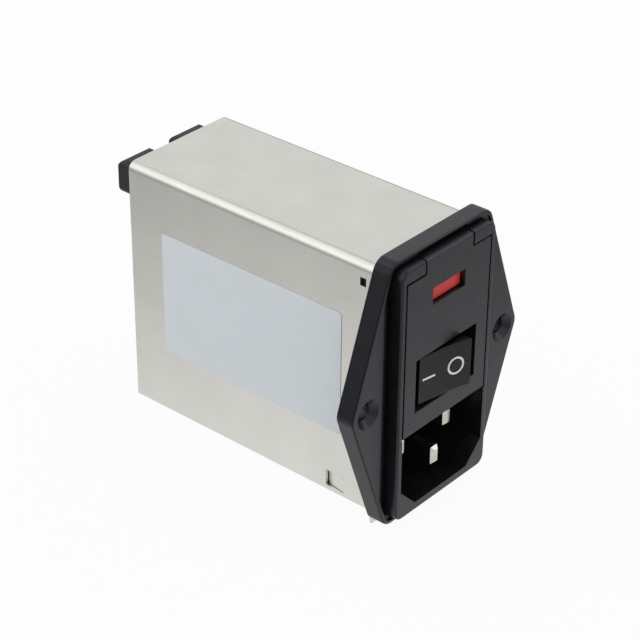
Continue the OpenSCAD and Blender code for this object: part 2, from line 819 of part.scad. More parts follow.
// Cap over a tab's bend, open below, with a neck through the rear plate
module hood(x) {
  low = hood_top - hood_h;
  foot = hood_w / 2 - hood_r;
  difference() {
    union() {
      intersection() {
        translate([x, 0, 0]) side(-hood_w / 2, hood_w / 2) hood_section(low);
        slab(-hood_back, -can_depth) translate([x, hood_top - hood_h / 2]) rounded_rect([hood_w, hood_h], hood_r);
      }
      slab(-can_depth, -pan_back) rect([x - foot, low + hood_r], [x + foot, hood_top - hood_r]);
      slab(-pan_back, 1.6 - pan_back) neck_outline(x, fit);
    }
    block(
      [x - tab_blade_w / 2 - fit, pan_back - 2, tab_z - blade_t / 2 - fit],
      [x + tab_blade_w / 2 + fit, hood_back - hood_wall, tab_z + blade_t / 2 + fit]
    );
    block(
      [x - tab_blade_w / 2 - fit, hood_back - hood_wall - blade_t - 2 * fit, low - cut],
      [x + tab_blade_w / 2 + fit, hood_back - hood_wall, tab_z + blade_t / 2 + fit]
    );
  }
}

module hood_section(low) {
  rect([can_depth, low], [hood_back - hood_r, hood_top]);
  rect([can_depth, low + hood_r], [hood_back, hood_top - hood_r]);
  for (z = [low + hood_r, hood_top - hood_r]) translate([hood_back - hood_r, z]) circle(hood_r);
}

module line_hood() color([0.15, 0.15, 0.16]) hood(hoods[0]);

module neutral_hood() color([0.15, 0.15, 0.16]) hood(hoods[1]);

// Output tab: straight through the hood, then bent down behind the plate
module output_tab(x) {
  bend_back = hood_back - hood_wall - fit;
  half = tab_blade_w / 2;
  block([x - half, board_front - 1.5, tab_z - blade_t / 2], [x + half, bend_back, tab_z + blade_t / 2]);
  block([x - half, bend_back - blade_t, tab_foot_z], [x + half, bend_back, tab_z + blade_t / 2]);
}

module line_tab() color([0.85, 0.83, 0.76]) output_tab(hoods[0]);

module neutral_tab() color([0.85, 0.83, 0.76]) output_tab(hoods[1]);

module earth_tab() color([0.85, 0.83, 0.76]) {
  half = earth_blade_w / 2;
  difference() {
    union() {
      block(
        [earth_foot[0] - half, pan_back, earth_foot[1] - half],
        [earth_foot[0] + half, pan_back + blade_t, earth_foot[1] + half + blade_t]
      );
      block(
        [earth_foot[0] - half, pan_back, earth_foot[1] + half],
        [earth_foot[0] + half, pan_back + earth_blade_l, earth_foot[1] + half + blade_t]
      );
    }
    translate([earth_foot[0], pan_back - cut, earth_foot[1]]) rotate([-90, 0, 0])
      cylinder(r = rivet_r + running_fit, h = blade_t + 2 * cut);
    translate([earth_foot[0], pan_back + earth_blade_l - 3, earth_foot[1] + half - cut])
      cylinder(d = tab_hole_d, h = blade_t + 2 * cut);
  }
}

module earth_rivet() color([0.8, 0.8, 0.78]) {
  head = 0.7;
  stack = sheet_t + blade_t;
  translate([earth_foot[0], pan_back - sheet_t, earth_foot[1]]) rotate([-90, 0, 0]) {
    cylinder(r = rivet_r, h = stack);
    translate([0, 0, stack]) cylinder(r1 = rivet_r + 1, r2 = rivet_r, h = head);
    translate([0, 0, -head]) cylinder(r = rivet_r + 1, h = head);
  }
}

module circuit_board() color([0.2, 0.4, 0.24]) {
  difference() {
    block(
      [board_inset[0] - pan_w / 2, board_front, board_low],
      [pan_w / 2 - board_inset[0], board_back, board_high]
    );
    for (x = hoods)
      block(
        [x - tab_blade_w / 2 - fit, board_front - cut, tab_z - blade_t / 2 - fit],
        [x + tab_blade_w / 2 + fit, board_back + cut, tab_z + blade_t / 2 + fit]
      );
  }
}

module on_choke() {
  translate([0, board_front - winding_t - 0.05, choke_z]) rotate([90, 0, 0]) children();
}

module choke_core() color([0.25, 0.3, 0.28]) on_choke() difference() {
  cylinder(d = choke_d, h = choke_t);
  translate([0, 0, -cut]) cylinder(d = choke_bore, h = choke_t + 2 * cut);
}

// Sleeve of turns wrapped round one side of the core
module winding() {
  gap = 0.05;
  inner = choke_bore / 2;
  outer = choke_d / 2;
  rotate(-55) rotate_extrude(angle = 110) difference() {
    rect([inner - gap - winding_t, -gap - winding_t], [outer + gap + winding_t, choke_t + gap + winding_t]);
    rect([inner - gap, -gap], [outer + gap, choke_t + gap]);
  }
}

module line_winding() color([0.72, 0.4, 0.2]) on_choke() rotate(180) winding();

module neutral_winding() color([0.72, 0.4, 0.2]) on_choke() winding();

module x_capacitor() color([0.85, 0.72, 0.2]) {
  slab(-board_front, x_cap[2] - board_front) translate([0, x_cap_z]) rounded_rect([x_cap[0], x_cap[1]], 0.8);
}

module y_capacitors() color([0.2, 0.4, 0.7]) {
  rise = y_cap_d / 2 + 1;
  for (x = [-y_cap_x, y_cap_x]) {
    translate([x - y_cap_t / 2, board_front - rise, y_cap_z]) rotate([0, 90, 0])
      cylinder(d = y_cap_d, h = y_cap_t);
    for (z = [y_cap_z - y_lead_z, y_cap_z + y_lead_z])
      translate([x, board_front - rise, z]) rotate([-90, 0, 0]) cylinder(r = wire_r, h = rise);
  }
}

module bleed_resistor() color([0.6, 0.7, 0.8]) {
  rise = 2 * resistor_r;
  reach = resistor_l / 2 + wire_bend;
  translate([0, board_front - rise, resistor_z]) rotate([0, 90, 0]) {
    cylinder(r = resistor_r, h = resistor_l, center = true);
    cylinder(r = wire_r, h = 2 * reach, center = true);
  }
  for (x = [-1, 1]) translate([x * (reach - wire_r), board_front - rise, resistor_z])
    rotate([-90, 0, 0]) cylinder(r = wire_r, h = rise);
}

// Round lead along straight stretches, with a bend at each turn
module lead(points) {
  n = len(points);
  runs = [for (i = [0:n - 2]) unit(points[i + 1] - points[i])];
  trims = [0, for (i = [0:n - 3]) lead_bend_r * tan(acos(runs[i] * runs[i + 1]) / 2), 0];
  for (i = [0:n - 2]) {
    run = runs[i];
    translate(points[i] + run * trims[i]) rotate([0, acos(run[2]), atan2(run[1], run[0])])
      cylinder(r = lead_r, h = norm(points[i + 1] - points[i]) - trims[i] - trims[i + 1]);
  }
  for (i = [1:n - 2]) lead_bend(points[i] - runs[i - 1] * trims[i], runs[i - 1], runs[i]);
}

// Turn that starts at a place along one direction and leaves along another
module lead_bend(start, along, leaving) {
  inward = unit(leaving - along * (along * leaving));
  axis = cross(along, inward);
  centre = start + inward * lead_bend_r;
  rows = [for (k = [0:2]) [-inward[k], along[k], axis[k], centre[k]]];
  multmatrix([rows[0], rows[1], rows[2], [0, 0, 0, 1]])
    rotate_extrude(angle = acos(along * leaving)) translate([lead_bend_r, 0]) circle(lead_r);
}

// From the line and neutral pins up to the fuse clips
module pin_leads() color([0.35, 0.2, 0.12]) {
  for (k = [0, 1]) {
    s = k == 0 ? -1 : 1;
    top = fuses[1 - k];
    lead([
      [s * pin_pitch / 2, tail_y, pin_z], [s * pin_pitch / 2, riser_y, pin_z], [s * riser_x, riser_y, pin_z],
      [s * riser_x, riser_y, top], [s * clip_x, riser_y, top], [s * clip_x, clip_end_y, top]
    ]);
  }
}

// From the fuse clips to the switch's common terminals
module fuse_leads() color([0.15, 0.2, 0.5]) {
  for (k = [0, 1]) {
    s = k == 0 ? 1 : -1;
    top = fuses[1 - k];
    pole = poles[1 - k];
    y = crossing_y + lead_gap * k;
    lead([
      [s * clip_x, clip_end_y, top], [s * clip_x, y, top], [0, y, top],
      [0, y, pole], [0, terminal_end_y, pole]
    ]);
  }
}

// From the switch's output terminals back to the board
module switch_leads() color([0.35, 0.2, 0.12]) {
  y = crossing_y + 2.5 * lead_gap;
  for (k = [0, 1]) {
    x = k == 0 ? -riser_x : riser_x;
    lead([
      [contact_x, terminal_end_y, poles[k]], [contact_x, y, poles[k]],
      [x, y, poles[k]], [x, board_front, poles[k]]
    ]);
  }
}

// From the earth pin to the can's bottom
module earth_lead() color([0.3, 0.5, 0.2]) {
  x = earth_lead_x;
  y = riser_y + 2 * lead_gap;
  lead([[0, tail_y, earth_z], [0, y, earth_z], [x, y, earth_z], [x, y, can_bottom + sheet_t]]);
}

housing();
fuse_door();
fuse_carrier();
fuse_glass_upper();
fuse_glass_lower();
fuse_caps();
fuse_elements();
fuse_clips();
line_pin();
neutral_pin();
earth_pin();
switch_body();
rocker();
rocker_plungers();
plunger_springs();
contact_arms();
common_terminals();
output_terminals();
filter_can();
label();
rear_plate();
line_hood();
neutral_hood();
line_tab();
neutral_tab();
earth_tab();
earth_rivet();
circuit_board();
choke_core();
line_winding();
neutral_winding();
x_capacitor();
y_capacitors();
bleed_resistor();
pin_leads();
fuse_leads();
switch_leads();
earth_lead();
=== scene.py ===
"""Dresses a power entry module: softened mouldings, folded sheet, switch marks, finishes and a studio."""

import json
import math

import bpy
from bpy.props import FloatProperty, FloatVectorProperty, IntProperty, PointerProperty
from mathutils import Matrix, Vector


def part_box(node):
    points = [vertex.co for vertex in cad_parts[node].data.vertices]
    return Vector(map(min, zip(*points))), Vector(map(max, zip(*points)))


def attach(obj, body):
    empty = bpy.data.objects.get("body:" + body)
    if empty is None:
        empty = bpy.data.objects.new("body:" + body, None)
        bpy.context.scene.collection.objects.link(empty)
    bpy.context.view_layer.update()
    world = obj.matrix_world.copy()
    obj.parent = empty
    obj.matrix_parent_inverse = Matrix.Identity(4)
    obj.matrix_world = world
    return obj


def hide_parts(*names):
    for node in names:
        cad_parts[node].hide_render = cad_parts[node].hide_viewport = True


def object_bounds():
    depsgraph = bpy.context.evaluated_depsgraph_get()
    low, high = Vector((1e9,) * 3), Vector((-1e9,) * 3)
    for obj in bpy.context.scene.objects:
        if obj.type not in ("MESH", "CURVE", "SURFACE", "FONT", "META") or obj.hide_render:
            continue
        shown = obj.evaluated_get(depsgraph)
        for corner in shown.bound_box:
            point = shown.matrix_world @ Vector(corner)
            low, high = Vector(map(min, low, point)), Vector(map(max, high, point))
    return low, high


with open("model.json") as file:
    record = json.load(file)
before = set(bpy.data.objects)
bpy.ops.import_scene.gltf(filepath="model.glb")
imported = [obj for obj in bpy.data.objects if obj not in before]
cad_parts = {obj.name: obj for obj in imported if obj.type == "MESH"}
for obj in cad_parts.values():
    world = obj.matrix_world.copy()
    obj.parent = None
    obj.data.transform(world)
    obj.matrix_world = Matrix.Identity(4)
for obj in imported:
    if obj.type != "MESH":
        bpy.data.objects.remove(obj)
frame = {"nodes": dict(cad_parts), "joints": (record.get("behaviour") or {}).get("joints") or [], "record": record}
CAD_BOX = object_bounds()

bl_info = {
    "name": "Power Entry Module",
    "version": (1, 0, 0),
    "blender": (4, 5, 0),
    "location": "View3D > Sidebar > Module",
    "description": "Finishes and studio for a panel-mounted power entry module",
    "category": "Object",
}

MM = 0.001
NODES = frame["nodes"]
BODY_OF_NODE = {
    node: body
    for body, members in frame["record"]["behaviour"]["bodies"].items()
    for node in members
}
JOINTS = {row["name"]: row for row in frame["joints"]}

# Places on the module
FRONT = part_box("housing")[0].y
SEAT_FRONT = FRONT + 0.5 * MM
FLANGE_BACK = FRONT + 2.6 * MM
FLANGE_INNER = 14.2 * MM
SCREW_X = 20 * MM
SCREW_CLEAR = 3.8 * MM
BUTTON_BACK = -3.5 * MM
PIN_TIP = 1.3 * MM

# Limits for picking edges and faces
WELD = 0.0005 * MM
FLUSH = 0.01 * MM
UPRIGHT = 0.1
FACING_FRONT = 0.4
FACING_SIDE = 0.6
FLAT_ANGLE = math.radians(0.4)
SMOOTH_ANGLE = math.radians(32)
SHARP_ANGLE = math.radians(28)
FLANGE_ANGLE = math.radians(60)
ROCKER_ANGLE = math.radians(20)

# Finishes and print
MOULD_GRAIN = 0.22 * MM
MOULD_RELIEF = 0.018 * MM
MOULD_GLOSS = (0.87, 0.89, 1, 1)
NOISE_MIDDLE = (0.3, 0.7)
ROUND_END = 0.49

# Studio
FLOOR_SIZE = 8
FLOOR_GREY = (0.85, 0.85, 0.85, 1)
WHITE = (1, 1, 1, 1)
SENSOR_WIDTH = 36
NEAREST_SEEN = 0.01
AIR_RISE = (0.0, 0.4)
AIR_FALL = (0.6, 0.84)
BOX_DISTANCE = 0.6
BACK_BOX = {"toward": (-0.565, 0.56, 0.605), "along": (1.26, 0, 0.69), "size": (1.0, 0.26)}
FRONT_BOX = {"toward": (0.65, -0.52, 0.55), "along": (0.52, 0.65, 0), "size": (0.3, 0.3)}


def length(name, description, default):
    """A size in metres that a user may change."""
    return FloatProperty(name=name, description=description, default=default, unit="LENGTH", precision=6)


def colour(name, description, default):
    """A linear colour that a user may change."""
    return FloatVectorProperty(
        name=name, description=description, default=default, subtype="COLOR", size=3, min=0, max=1
    )


def angle(name, description, degrees):
    """An angle that a user may change."""
    return FloatProperty(name=name, description=description, default=math.radians(degrees), subtype="ANGLE")


def level(name, description, default):
    """A brightness that a user may change."""
    return FloatProperty(name=name, description=description, default=default, min=0, max=4, subtype="FACTOR")


class ModuleFinishes(bpy.types.PropertyGroup):
    """Colours of the module's finishes."""

    moulding: colour("Moulding", "Black of the housing", (0.006, 0.0062, 0.0075))
    door: colour("Door", "Black of the fuse door", (0.008, 0.0083, 0.0095))
    rocker: colour("Rocker", "Black of the rocker", (0.004, 0.004, 0.0045))
    marks: colour("Marks", "Print on the rocker", (0.78, 0.79, 0.8))
    carrier: colour("Carrier", "Red of the fuse carrier", (0.65, 0.033, 0.033))
    sheet: colour("Sheet", "Tinned sheet of the can", (0.67, 0.665, 0.625))
    label: colour("Label", "Blank film on the can", (0.71, 0.755, 0.79))
    plating: colour("Plating", "Nickel plating of pins and caps", (0.62, 0.6, 0.53))
    brass: colour("Brass", "Bare brass of the contacts", (0.72, 0.5, 0.2))
    copper: colour("Copper", "Enamelled copper of the windings", (0.55, 0.2, 0.07))
    fuse_wire: colour("Fuse wire", "Wire inside the fuses", (0.7, 0.66, 0.55))
    plunger: colour("Plunger", "Pale plastic of the rocker's plungers", (0.75, 0.73, 0.66))
    board: colour("Board", "Green of the circuit board", (0.03, 0.14, 0.05))
    ferrite: colour("Ferrite", "Grey of the choke's core", (0.05, 0.055, 0.055))
    film: colour("Film capacitor", "Yellow of the capacitor across the line", (0.72, 0.45, 0.03))
    resin: colour("Resin", "Blue dip of the small parts on the board", (0.04, 0.14, 0.42))
    lead: colour("Lead", "Brown of the live leads", (0.05, 0.025, 0.015))
    earth: colour("Earth lead", "Green of the earth lead", (0.05, 0.2, 0.03))


class ModuleEdges(bpy.types.PropertyGroup):
    """Rounding of the visible edges."""

    flange: length("Flange edge", "Rounding of the flange's front edge", 0.4 * MM)
    bezel: length("Bezel edge", "Rounding of the bezel's outer front edge", 0.45 * MM)
    mouth: length("Mouth edge", "Rounding of the edges into the inlet and the door's pocket", 0.1 * MM)
    door: length("Door edge", "Rounding of the door's edges", 0.12 * MM)
    rocker: length("Rocker edge", "Rounding of the rocker's edges", 0.3 * MM)
    pin: length("Pin edge", "Rounding of the pins' edges", 0.07 * MM)
    segments: IntProperty(name="Segments", description="Faces across each rounding", default=3, min=1, max=6)


class ModuleMarks(bpy.types.PropertyGroup):
    """Sizes and places of the switch's ON and OFF marks."""

    reach: length("Reach", "From the rocker's pivot to the valley between its halves", 4.6 * MM)
    slope: angle("Slope", "Lean of each half of the rocker from its valley", 3.2)
    line: length("Line", "Width of both marks' lines", 0.42 * MM)
    ring_radius: length("Ring radius", "Middle radius of the OFF ring", 1.66 * MM)
    ring_offset: length("Ring offset", "OFF ring's middle, from the rocker's valley", 2.68 * MM)
    ring_rise: length("Ring rise", "OFF ring's middle, above the rocker's pivot", 0.27 * MM)
    stroke_length: length("Stroke length", "Between the middles of the ON stroke's round ends", 2.75 * MM)
    stroke_offset: length("Stroke offset", "ON stroke's middle, from the rocker's valley", 3.75 * MM)
    stroke_rise: length("Stroke rise", "ON stroke's middle, above the rocker's pivot", 0.07 * MM)
    thickness: length("Thickness", "Height of the print above the rocker", 0.02 * MM)


class ModuleStudio(bpy.types.PropertyGroup):
    """Camera and light."""

    azimuth: angle("Azimuth", "Camera's turn about the upright axis", -49.592)
    elevation: angle("Elevation", "Camera's height above the horizon", 31.274)
    roll: angle("Roll", "Camera's turn about its own axis", 0.521)
    aim: FloatVectorProperty(
        name="Aim", description="Point at the middle of the picture",
        default=(-9.227 * MM, 17.054 * MM, 6.632 * MM), subtype="TRANSLATION", size=3, precision=6,
    )
    distance: length("Distance", "From the camera to the aimed point", 397.495 * MM)
    lens: FloatProperty(
        name="Lens", description="Focal length in millimetres", default=120.305, subtype="NONE"
    )
    ambient: level("Ambient", "Light from all round", 0.74)
    back_light: level("Back light", "Brightness of the back box", 0.66)
    front_light: level("Front light", "Brightness of the front box", 0.65)
    air_glow: level("Air glow", "Brightness of the air in mirrors", 0.98)
    floor_glow: level("Floor glow", "Share of plain white in the floor", 0.94)
    near_floor: level("Near floor", "The near floor's brightness in mirrors", 1.03)
    horizon: level("Horizon", "Brightness of the far floor and low air in mirrors", 0.36)
    zenith: level("Zenith", "Share of the air's brightness left overhead in mirrors", 0.66)
    reach: length("Reach", "Where the floor is halfway to its dimmest in mirrors", 100 * MM)


def settings():
    """The scene's property groups."""
    return bpy.context.scene.module_kit


class ModuleKit(bpy.types.PropertyGroup):
    """All of the module's settings."""

    finishes: PointerProperty(type=ModuleFinishes)
    edges: PointerProperty(type=ModuleEdges)
    marks: PointerProperty(type=ModuleMarks)
    studio: PointerProperty(type=ModuleStudio)


def select_only(piece):
    """Leaves one object selected and active, in object mode."""
    if bpy.context.mode != "OBJECT":
        bpy.ops.object.mode_set(mode="OBJECT")
    bpy.ops.object.select_all(action="DESELECT")
    piece.select_set(True)
    bpy.context.view_layer.objects.active = piece


def welded_copy(node, name):
    """Copies a node's mesh with its triangles welded and its flat faces made whole."""
    piece = bpy.data.objects.new(name, NODES[node].data.copy())
    bpy.context.scene.collection.objects.link(piece)
    select_only(piece)
    bpy.ops.mesh.customdata_custom_splitnormals_clear()
    bpy.ops.object.mode_set(mode="EDIT")
    bpy.ops.mesh.select_all(action="SELECT")
    bpy.ops.mesh.remove_doubles(threshold=WELD)
    bpy.ops.mesh.dissolve_limited(angle_limit=FLAT_ANGLE)
    bpy.ops.object.mode_set(mode="OBJECT")
    return piece


def sharp_edges(piece, limit):
    """Edges whose faces meet at more than a limit: index, end points and the two faces' normals."""
    normals = {}
    for face in piece.data.polygons:
        for key in face.edge_keys:
            normals.setdefault(key, []).append(face.normal.copy())
    found = []
    for edge in piece.data.edges:
        pair = normals.get(edge.key, [])
        if len(pair) == 2 and pair[0].angle(pair[1], 0) > limit:
            ends = [piece.data.vertices[i].co.copy() for i in edge.vertices]
            found.append((edge.index, ends, pair))
    return found


def round_edges(piece, width, segments, wanted, limit=SHARP_ANGLE):
    """Bevels the sharp edges that a test on their ends and their faces' normals picks."""
    picked = {index for index, ends, normals in sharp_edges(piece, limit) if wanted(ends, normals)}
    select_only(piece)
    bpy.ops.object.mode_set(mode="EDIT")
    bpy.ops.mesh.select_mode(type="EDGE")
    bpy.ops.mesh.select_all(action="DESELECT")
    bpy.ops.object.mode_set(mode="OBJECT")
    for edge in piece.data.edges:
        edge.select = edge.index in picked
    bpy.ops.object.mode_set(mode="EDIT")
    bpy.ops.mesh.bevel(offset=width, segments=segments, profile=0.5, affect="EDGES", clamp_overlap=False)
    bpy.ops.object.mode_set(mode="OBJECT")


def smooth(piece):
    """Shades smooth across gentle edges and leaves broad faces flat."""
    select_only(piece)
    bpy.ops.object.shade_smooth_by_angle(angle=SMOOTH_ANGLE)
    bpy.ops.object.modifier_add(type="WEIGHTED_NORMAL")
    piece.modifiers[-1].keep_sharp = True
    bpy.ops.object.modifier_apply(modifier=piece.modifiers[-1].name)


def coat(piece, material):
    """Gives a piece one material."""
    piece.data.materials.clear()
    piece.data.materials.append(material)


def stand_for(piece, node, material):
    """Puts a finished piece in a node's place."""
    smooth(piece)
    coat(piece, material)
    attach(piece, BODY_OF_NODE[node])
    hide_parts(node)


def dress(nodes, material):
    """Gives nodes that keep their own shape a finish."""
    for node in nodes:
        coat(NODES[node], material)


class Finish:
    """Builds one node-based material."""

    def __init__(self, name):
        self.material = bpy.data.materials.new(name)
        self.material.use_nodes = True
        self.tree = self.material.node_tree
        self.shader = self.tree.nodes["Principled BSDF"]
        self.place = self.tree.nodes.new("ShaderNodeTexCoord").outputs["Object"]

    def node(self, kind):
        return self.tree.nodes.new(kind)

    def link(self, source, target):
        self.tree.links.new(source, target)

    def set(self, **values):
        """Sets shader sockets that are the same all over."""
        for name, value in values.items():
            socket = name.replace("_", " ").title().replace("Ior", "IOR")
            self.shader.inputs[socket].default_value = value
        return self

    def noise(self, size, stretch=(1, 1, 1), detail=3.0):
        """Noise with features of one size in metres, drawn out along stretched axes."""
        mapping = self.node("ShaderNodeMapping")
        mapping.inputs["Scale"].default_value = [1 / (size * s) for s in stretch]
        texture = self.node("ShaderNodeTexNoise")
        texture.inputs["Scale"].default_value = 1.0
        texture.inputs["Detail"].default_value = detail
        self.link(self.place, mapping.inputs["Vector"])
        self.link(mapping.outputs["Vector"], texture.inputs["Vector"])
        return texture.outputs["Fac"]

    def spread(self, source, low, high):
        """Maps a noise to a range of values."""
        reach = self.node("ShaderNodeMapRange")
        reach.inputs["From Min"].default_value, reach.inputs["From Max"].default_value = NOISE_MIDDLE
        reach.inputs["To Min"].default_value = low
        reach.inputs["To Max"].default_value = high
        self.link(source, reach.inputs["Value"])
        return reach.outputs["Result"]

    def tint(self, source, colour, depth):
        """Colours the shader, a little darker and lighter with a noise."""
        mix = self.node("ShaderNodeMix")
        mix.data_type = "RGBA"
        mix.inputs["A"].default_value = [c * (1 - depth) for c in colour] + [1]
        mix.inputs["B"].default_value = [min(1, c * (1 + depth)) for c in colour] + [1]
        self.link(self.spread(source, 0, 1), mix.inputs["Factor"])
        self.link(mix.outputs["Result"], self.shader.inputs["Base Color"])
        return self

    def rough(self, source, low, high):
        self.link(self.spread(source, low, high), self.shader.inputs["Roughness"])
        return self

    def relief(self, source, height):
        """Raises the surface by a noise."""
        bump = self.node("ShaderNodeBump")
        bump.inputs["Distance"].default_value = height
        self.link(source, bump.inputs["Height"])
        self.link(bump.outputs["Normal"], self.shader.inputs["Normal"])
        return self


def moulded(name, shade, roughness, ior=1.5):
    """Black moulded plastic with a fine spark-eroded texture."""
    finish = Finish(name).set(ior=ior, specular_tint=MOULD_GLOSS)
    fine = finish.noise(MOULD_GRAIN)
    finish.tint(finish.noise(3 * MM), shade, 0.25)
    finish.rough(fine, roughness - 0.06, roughness + 0.08)
    finish.relief(fine, MOULD_RELIEF)
    return finish.material


def tinned_sheet():
    """Satin tinned sheet with faint rolling lines and clouding."""
    finish = Finish("tinned_sheet").set(metallic=1.0)
    cloud = finish.noise(9 * MM, detail=4)
    lines = finish.noise(0.12 * MM, stretch=(1, 40, 1))
    finish.tint(cloud, settings().finishes.sheet, 0.03)
    finish.rough(lines, 0.27, 0.36)
    finish.relief(lines, 0.0012 * MM)
    return finish.material


def label_film():
    """Blank satin film."""
    finish = Finish("label_film").set(ior=1.45)
    finish.tint(finish.noise(6 * MM), settings().finishes.label, 0.012)
    finish.rough(finish.noise(0.3 * MM), 0.34, 0.42)
    return finish.material


def plated(name, shade, low, high):
    """Plated or bare metal with fine handling marks."""
    finish = Finish(name).set(metallic=1.0)
    finish.tint(finish.noise(1.2 * MM), shade, 0.06)
    finish.rough(finish.noise(0.2 * MM, stretch=(1, 6, 1)), low, high)
    return finish.material


def smooth_plastic(name, shade, roughness, ior=1.5):
    """Smooth moulded plastic."""
    finish = Finish(name).set(ior=ior)
    finish.tint(finish.noise(1.5 * MM), shade, 0.08)
    finish.rough(finish.noise(0.35 * MM), roughness - 0.04, roughness + 0.05)
    finish.relief(finish.noise(0.5 * MM), 0.001 * MM)
    return finish.material


def clear_glass():
    """Thin clear glass of the fuses."""
    finish = Finish("fuse_glass").set(ior=1.5, transmission_weight=1.0)
    finish.tint(finish.noise(4 * MM), (0.93, 0.96, 0.96), 0.01)
    finish.rough(finish.noise(1 * MM), 0.02, 0.05)
    return finish.material


class ModuleOperator:
    """What every step shares."""

    bl_options = {"REGISTER", "UNDO"}

    @property
    def kit(self):
        return settings()


class MODULE_OT_housing(ModuleOperator, bpy.types.Operator):
    """Moulded housing with softened edges"""

    bl_idname = "module.housing"
    bl_label = "Housing"

    def execute(self, context):
        piece = welded_copy("housing", "housing_moulding")
        edges = self.kit.edges
        round_edges(piece, edges.flange, edges.segments, self.on_flange, FLANGE_ANGLE)
        round_edges(piece, edges.bezel, edges.segments, self.on_bezel)
        round_edges(piece, edges.mouth, 2, self.on_mouth)
        shade = self.kit.finishes.moulding
        stand_for(piece, "housing", moulded("housing_black", shade, roughness=0.32))
        # Painted shade: the flange's sideways-facing faces get a darker copy of the same black
        self.paint_shade_on_sides(piece, moulded("housing_side_painted_shade", shade, roughness=0.36, ior=1.36))
        return {"FINISHED"}

    def paint_shade_on_sides(self, piece, material):
        """Gives the flange's slanted sides, out to its tips, a rougher copy of the front's black with a lower IOR,
        so they reflect less: painted shade on the sideways-facing faces.
        """
        piece.data.materials.append(material)
        for face in piece.data.polygons:
            across = abs(face.center.x)
            in_hole = math.hypot(across - SCREW_X, face.center.z) < SCREW_CLEAR
            if across > FLANGE_INNER and abs(face.normal.x) > FACING_SIDE and not in_hole:
                face.material_index = 1

    def front_wall(self, ends, normals):
        """The middle of a front edge and the way its wall faces, or None for another edge."""
        walls = [n for n in normals if abs(n.y) < UPRIGHT]
        fronts = [n for n in normals if n.y < -FACING_FRONT]
        if len(walls) != 1 or len(fronts) != 1:
            return None
        return (ends[0] + ends[1]) / 2, walls[0]

    def is_outer(self, middle, wall):
        """Whether a wall faces away from the module's middle."""
        return middle.x * wall.x + middle.z * wall.z > 0

    def on_flange(self, ends, normals):
        found = self.front_wall(ends, normals)
        return bool(found) and self.is_outer(*found) and SEAT_FRONT < found[0].y < FLANGE_BACK

    def on_bezel(self, ends, normals):
        found = self.front_wall(ends, normals)
        return bool(found) and self.is_outer(*found) and found[0].y < SEAT_FRONT

    def on_mouth(self, ends, normals):
        found = self.front_wall(ends, normals)
        return bool(found) and not self.is_outer(*found) and found[0].y < SEAT_FRONT


class MODULE_OT_fuse_door(ModuleOperator, bpy.types.Operator):
    """Hinged fuse door"""

    bl_idname = "module.fuse_door"
    bl_label = "Fuse door"

    def execute(self, context):
        piece = welded_copy("fuse_door", "fuse_door_moulding")
        round_edges(piece, self.kit.edges.door, 2, self.on_front)
        stand_for(piece, "fuse_door", moulded("door_black", self.kit.finishes.door, roughness=0.33))
        return {"FINISHED"}

    def on_front(self, ends, normals):
        return all(point.y < FRONT + FLUSH for point in ends)


class MODULE_OT_rocker(ModuleOperator, bpy.types.Operator):
    """Rocker button with rounded edges"""

    bl_idname = "module.rocker"
    bl_label = "Rocker"

    def execute(self, context):
        piece = welded_copy("rocker", "rocker_button")
        edges = self.kit.edges
        round_edges(piece, edges.rocker, edges.segments, self.on_button, ROCKER_ANGLE)
        shade = self.kit.finishes.rocker
        stand_for(piece, "rocker", smooth_plastic("rocker_black", shade, roughness=0.26, ior=1.38))
        return {"FINISHED"}

    def on_button(self, ends, normals):
        return all(point.y < BUTTON_BACK for point in ends)


